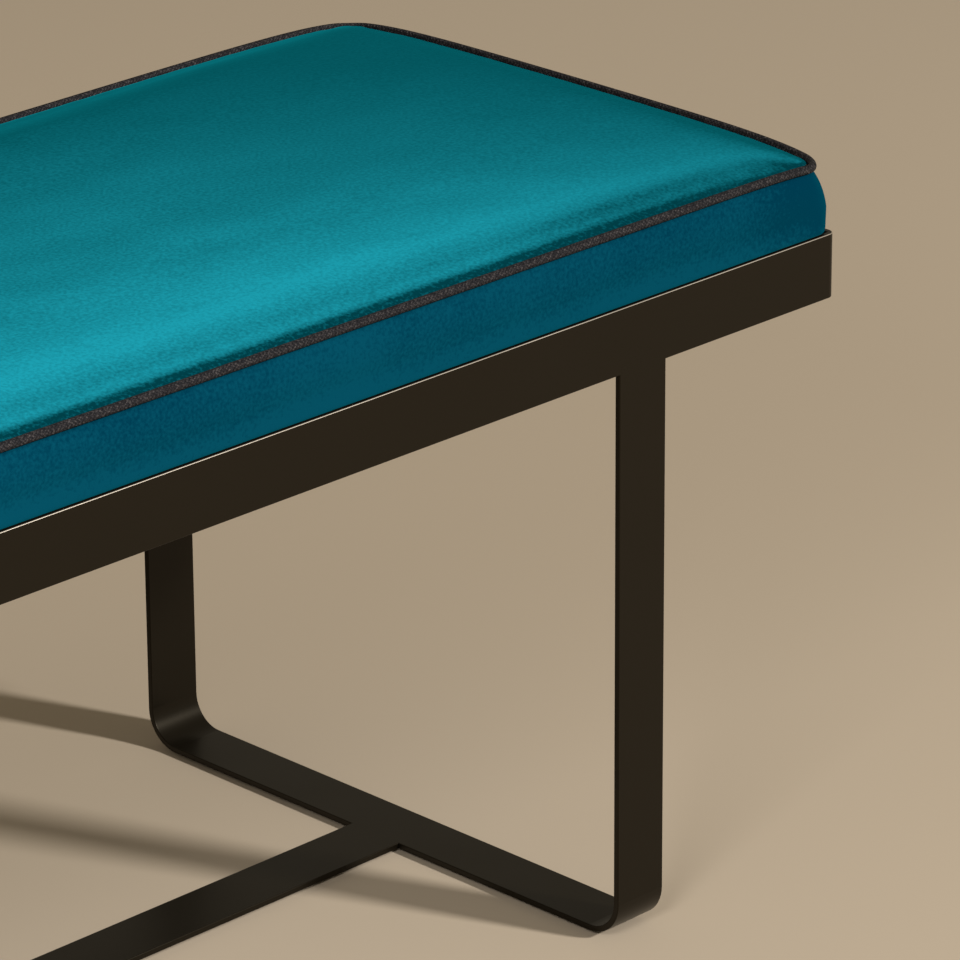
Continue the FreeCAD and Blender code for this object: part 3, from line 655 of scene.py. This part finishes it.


# The top's colour is painted light: a painted sheen where the crown slopes forwards and to the left, painted
# shade where it slopes to the back or right or drops steeply to the cord, and a painted falloff that leaves
# the middle of the front lighter than the ends and the back. The nap's fine grain is mixed in
velvet, tree, shader, nap = velvet_finish("teal_velvet_top", TOP_LIGHT)
facing = split_axes(tree, "Normal")
sideways = math_node(tree, "MULTIPLY", facing["X"], 0.5)
facing_back_right = math_node(tree, "MULTIPLY_ADD", facing["Y"], 0.9, sideways)
# painted sheen where the top faces forwards and left, painted shade where it faces back or right
painted_sheen_by_facing = mapped(tree, facing_back_right, 1.0, 0.0, -0.09, 0.11)
# painted shade where the top drops steeply to the cord
painted_shade_on_steep = mapped(tree, facing["Z"], 0.0, 1.0, 0.955, 0.9972)
place = split_axes(tree, "Object")
# painted falloff, darker towards the ends and the back
painted_falloff_to_ends = mapped(tree, math_node(tree, "ABSOLUTE", place["X"]), 0.0, 0.35, 0.2, 0.6)
painted_falloff = math_node(tree, "MULTIPLY_ADD", place["Y"], 0.9, painted_falloff_to_ends)
nap_tone_and_painted_light = math_node(tree, "MULTIPLY", painted_sheen_by_facing, painted_shade_on_steep)
nap_tone_and_painted_light = math_node(tree, "MULTIPLY_ADD", mapped(tree, nap, -0.5, 0.5), 0.35, nap_tone_and_painted_light)
nap_tone_and_painted_light = math_node(tree, "MULTIPLY", nap_tone_and_painted_light, mapped(tree, painted_falloff, 1.0, 0.22, -0.10, 0.37))
tree.links.new(blend_colours(tree, nap_tone_and_painted_light, TOP_DARK, TOP_LIGHT), shader.inputs["Base Color"])

# The band drifts in soft clouds of random tone, with painted shade darker at the ends and a painted sheen
# lighter at the hem
band_velvet, tree, shader, nap = velvet_finish("teal_velvet_band", BAND_LIGHT)
place = split_axes(tree, "Object")
# painted shade: darker towards the ends
ends = mapped(tree, math_node(tree, "ABSOLUTE", place["X"]), 0.72, -0.8, 0.50, 0.61)
clouds = mapped(tree, noise_on(tree, 0.045, 4), -0.3, 0.3)
# painted sheen: lighter near the hem
painted_hem_sheen = mapped(tree, place["Z"], 0.7, 0.0, RING_TOP + 0.002, RING_TOP + 0.017)
clouds_and_painted_light = math_node(tree, "ADD", painted_hem_sheen, math_node(tree, "ADD", clouds, ends))
nap_tone_and_painted_light = math_node(tree, "MULTIPLY_ADD", mapped(tree, nap, -0.5, 0.5), 0.9, clouds_and_painted_light)
tree.links.new(blend_colours(tree, nap_tone_and_painted_light, BAND_DARK, BAND_LIGHT), shader.inputs["Base Color"])

cover.data.materials.append(velvet)
cover.data.materials.append(band_velvet)
for face in cover.data.polygons:
    lowest = max(cover_rows.get(index, 0) for index in face.vertices)
    face.material_index = 0 if lowest <= TOP_ROWS else 1


def along_seam(x, y):
    """A length along the seam, so that gathers follow it round."""
    if HALF_LENGTH - abs(x) < HALF_DEPTH - abs(y):
        return y + math.copysign(2.0, x)
    return x + math.copysign(5.0, y)


deselect()
cover.select_set(True)
bpy.context.view_layer.objects.active = cover
finer = cover.modifiers.new("Finer", "SUBSURF")
finer.levels = 1
finer.render_levels = 1
bpy.ops.object.modifier_apply(modifier="Finer")
bpy.ops.object.shade_smooth()
for point in cover.data.vertices:
    x, y, z = point.co
    to_end = HALF_LENGTH - abs(x)
    to_side = HALF_DEPTH - abs(y)
    edge = min(to_end, to_side)
    if z > CORD_LEVEL:
        along = along_seam(x, y)
        by_seam = math.exp(-max(edge - RIM_INSET, 0) / GATHER_REACH) * min((z - CORD_LEVEL) / 0.002, 1.0)
        by_corner = math.exp(-math.hypot(to_end, to_side) / CORNER_GATHER_REACH)
        gather = noise.noise((along * 75, 0.3, 0)) + 0.6 * noise.noise((along * 160, 5.3, 0))
        roll = noise.noise((x * 9, y * 14, 1.7)) + 0.5 * noise.noise((x * 22, y * 30, 4.1))
        z += by_seam * (GATHER + CORNER_GATHER * by_corner) * gather
        z += ROLL * roll * min(edge / ROLL_REACH, 1.0)
    point.co = pulled(x, y, z, pull_share(z))

bpy.ops.object.mode_set(mode="EDIT")
bpy.ops.mesh.select_mode(type="FACE")
bpy.ops.mesh.select_all(action="DESELECT")
bpy.ops.object.mode_set(mode="OBJECT")
for face in cover.data.polygons:
    face.select = face.material_index == 0
bpy.ops.object.mode_set(mode="EDIT")
bpy.ops.mesh.separate(type="SELECTED")
bpy.ops.object.mode_set(mode="OBJECT")
panel = [piece for piece in bpy.context.selected_objects if piece != cover][0]
panel.name = "velvet_top"

for piece, node_name, finish in ((panel, "top_panel", velvet), (cover, "boxing", band_velvet)):
    piece.data.materials.clear()
    piece.data.materials.append(finish)
    piece.data.polygons.foreach_set("material_index", [0] * len(piece.data.polygons))
    cloth_depth = piece.modifiers.new("Thickness", "SOLIDIFY")
    cloth_depth.thickness = COVER_THICKNESS
    cloth_depth.offset = -1
    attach(piece, "root")
    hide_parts(node_name)

# Cord: a charcoal braid over a round core, sewn into the seam all the way round the top.
CORD_STEPS = 1100
CORD_SIDES = 12
BRAID_LINES = 7
BRAID_PITCH = 0.0028
BRAID_DEPTH = 0.0005
BRAID_DARK = (0.006, 0.006, 0.009, 1)
BRAID_LIGHT = (0.078, 0.070, 0.072, 1)


def seam_path(steps):
    """The cord's centre line, evenly stepped, and its length."""
    flat_x = HALF_LENGTH - CORD_INSET - SEAM_CORNER
    flat_y = HALF_DEPTH - CORD_INSET - SEAM_CORNER
    quarter = SEAM_CORNER * math.pi / 2
    runs = [2 * flat_x, quarter, 2 * flat_y, quarter] * 2
    total = sum(runs)
    upward = Vector((0, 0, 1))
    path = []
    for step in range(steps):
        left = total * step / steps
        leg = 0
        while left > runs[leg]:
            left -= runs[leg]
            leg += 1
        turn = leg // 2 * math.pi / 2
        long_run, short_run = (flat_x, flat_y) if leg // 2 % 2 == 0 else (flat_y, flat_x)
        if leg % 2 == 0:
            along, out, swing = left - long_run, short_run + SEAM_CORNER, 0.0
        else:
            swing = left / SEAM_CORNER
            along = long_run + SEAM_CORNER * math.sin(swing)
            out = short_run + SEAM_CORNER * math.cos(swing)
        x = along * math.cos(turn) + out * math.sin(turn)
        y = along * math.sin(turn) - out * math.cos(turn)
        outward = Vector((math.sin(turn + swing), -math.cos(turn + swing), 0))
        path.append((pulled(x, y, CORD_LEVEL, 1.0), outward, upward, CORD_RADIUS))
    return path, total


path, cord_length = seam_path(CORD_STEPS)
cord = tube("braided_cord", path, CORD_SIDES, closed=True)

# Strands lie both ways round the core, and each tile of the braid shows the one that is on top. Its ridges
# are a painted highlight and the grooves between strands painted shade, broken by random flecks
braid, tree, shader = finish_for("charcoal_braid", BRAID_LIGHT, 0.7)
on_cord = split_axes(tree, "UV")
lengthways = math_node(tree, "MULTIPLY", on_cord["X"], round(cord_length / BRAID_PITCH))
round_about = math_node(tree, "MULTIPLY", on_cord["Y"], BRAID_LINES)
lays = [math_node(tree, way, lengthways, round_about) for way in ("ADD", "SUBTRACT")]
ridges = []
for lay in lays:
    wave = math_node(tree, "SINE", math_node(tree, "MULTIPLY", lay, math.pi))
    ridges.append(math_node(tree, "ABSOLUTE", wave))
tiles = math_node(tree, "ADD", math_node(tree, "FLOOR", lays[0]), math_node(tree, "FLOOR", lays[1]))
over = math_node(tree, "MODULO", math_node(tree, "ABSOLUTE", tiles), 2.0)
difference = math_node(tree, "SUBTRACT", ridges[1], ridges[0])
ridge = math_node(tree, "MULTIPLY_ADD", over, difference, ridges[0])
fleck = mapped(tree, noise_on(tree, 0.0008, 2), 0.0, 1.0, 0.45, 0.75)
painted_ridge_light_and_flecks = math_node(tree, "MULTIPLY", ridge, fleck)
tree.links.new(blend_colours(tree, painted_ridge_light_and_flecks, BRAID_DARK, BRAID_LIGHT), shader.inputs["Base Color"])
bumped(tree, shader, ridge, BRAID_DEPTH, 0.8)
shader.inputs["Specular IOR Level"].default_value = 0.2
cord.data.materials.append(braid)
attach(cord, "root")
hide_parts("piping_cord")

# Dust cover: black non-woven cloth pulled flat under the board, with a hole burnt for each bolt, and
# the staples that hold it and the velvet's turned-in edge.
CLOTH_LOW, CLOTH_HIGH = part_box("dust_cover")
CLOTH_CORNER = 0.012
CLOTH_COLOUR = (0.012, 0.012, 0.012, 1)
HOLE_RADIUS = 0.0033
PUNCH_LENGTH = 0.01
BOLT_INSET = 0.026
CROSS_BOLT_REACH = 0.140
STAPLE = (0.0115, 0.0012, 0.0006)
STAPLE_INSET = 0.0185
STAPLE_SPACING = 0.045
CLEAR_OF_BAR = 0.028
CLEAR_OF_CORNER = 0.092

deselect()
middle = (CLOTH_LOW + CLOTH_HIGH) / 2
size = CLOTH_HIGH - CLOTH_LOW
bpy.ops.mesh.primitive_cube_add(size=1, location=middle, scale=size)
bpy.ops.object.transform_apply(location=True, rotation=True, scale=True)
dust_cover = bpy.context.object
dust_cover.name = "dust_cover_cloth"
bpy.ops.object.mode_set(mode="EDIT")
bpy.ops.mesh.select_mode(type="EDGE")
bpy.ops.mesh.select_all(action="DESELECT")
bpy.ops.object.mode_set(mode="OBJECT")
for edge in dust_cover.data.edges:
    ends = [dust_cover.data.vertices[index].co for index in edge.vertices]
    edge.select = abs(ends[0].z - ends[1].z) > size.z / 2
bpy.ops.object.mode_set(mode="EDIT")
bpy.ops.mesh.bevel(offset=CLOTH_CORNER, segments=8)
bpy.ops.object.mode_set(mode="OBJECT")

bolt_places = mirrored_twice(HOOP_MIDDLE, CROSS_BOLT_REACH)
bolt_places += mirrored_twice(inner_end - BOLT_INSET, inner_side - BOLT_INSET)
punches = []
for x, y in bolt_places:
    hole = (x, y, middle.z)
    bpy.ops.mesh.primitive_cylinder_add(vertices=24, radius=HOLE_RADIUS, depth=PUNCH_LENGTH, location=hole)
    punches.append(bpy.context.object)
punch = joined("punch", punches)
deselect()
dust_cover.select_set(True)
bpy.context.view_layer.objects.active = dust_cover
holes = dust_cover.modifiers.new("Holes", "BOOLEAN")
holes.object = punch
bpy.ops.object.modifier_apply(modifier="Holes")
bpy.data.objects.remove(punch)

cambric, tree, shader = finish_for("black_cambric", CLOTH_COLOUR, 0.9)
bumped(tree, shader, noise_on(tree, 0.0012, 4), 0.0003, 0.6)
dust_cover.data.materials.append(cambric)
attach(dust_cover, "root")
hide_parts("dust_cover")

# The staples stand round the board's edge, clear of the cross bars and the corner plates
staple_places = []
steps = round(2 * (HALF_LENGTH - CLEAR_OF_CORNER) / STAPLE_SPACING)
for step in range(steps + 1):
    x = (HALF_LENGTH - CLEAR_OF_CORNER) * (2 * step / steps - 1)
    if min(abs(x), abs(abs(x) - HOOP_MIDDLE)) > CLEAR_OF_BAR:
        for side in (-1, 1):
            staple_places.append((x, side * (HALF_DEPTH - STAPLE_INSET), 0))
steps = round(2 * (HALF_DEPTH - CLEAR_OF_CORNER) / STAPLE_SPACING)
for step in range(steps + 1):
    y = (HALF_DEPTH - CLEAR_OF_CORNER) * (2 * step / steps - 1)
    for side in (-1, 1):
        staple_places.append((side * (HALF_LENGTH - STAPLE_INSET), y, math.pi / 2))
staples = []
for x, y, turn in staple_places:
    place = (x, y, CLOTH_LOW.z - STAPLE[2] / 2)
    bpy.ops.mesh.primitive_cube_add(size=1, location=place, rotation=(0, 0, turn), scale=STAPLE)
    bpy.ops.object.transform_apply(location=True, rotation=True, scale=True)
    staples.append(bpy.context.object)
staples = joined("staples", staples)
staples.data.materials.append(zinc)
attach(staples, "root")
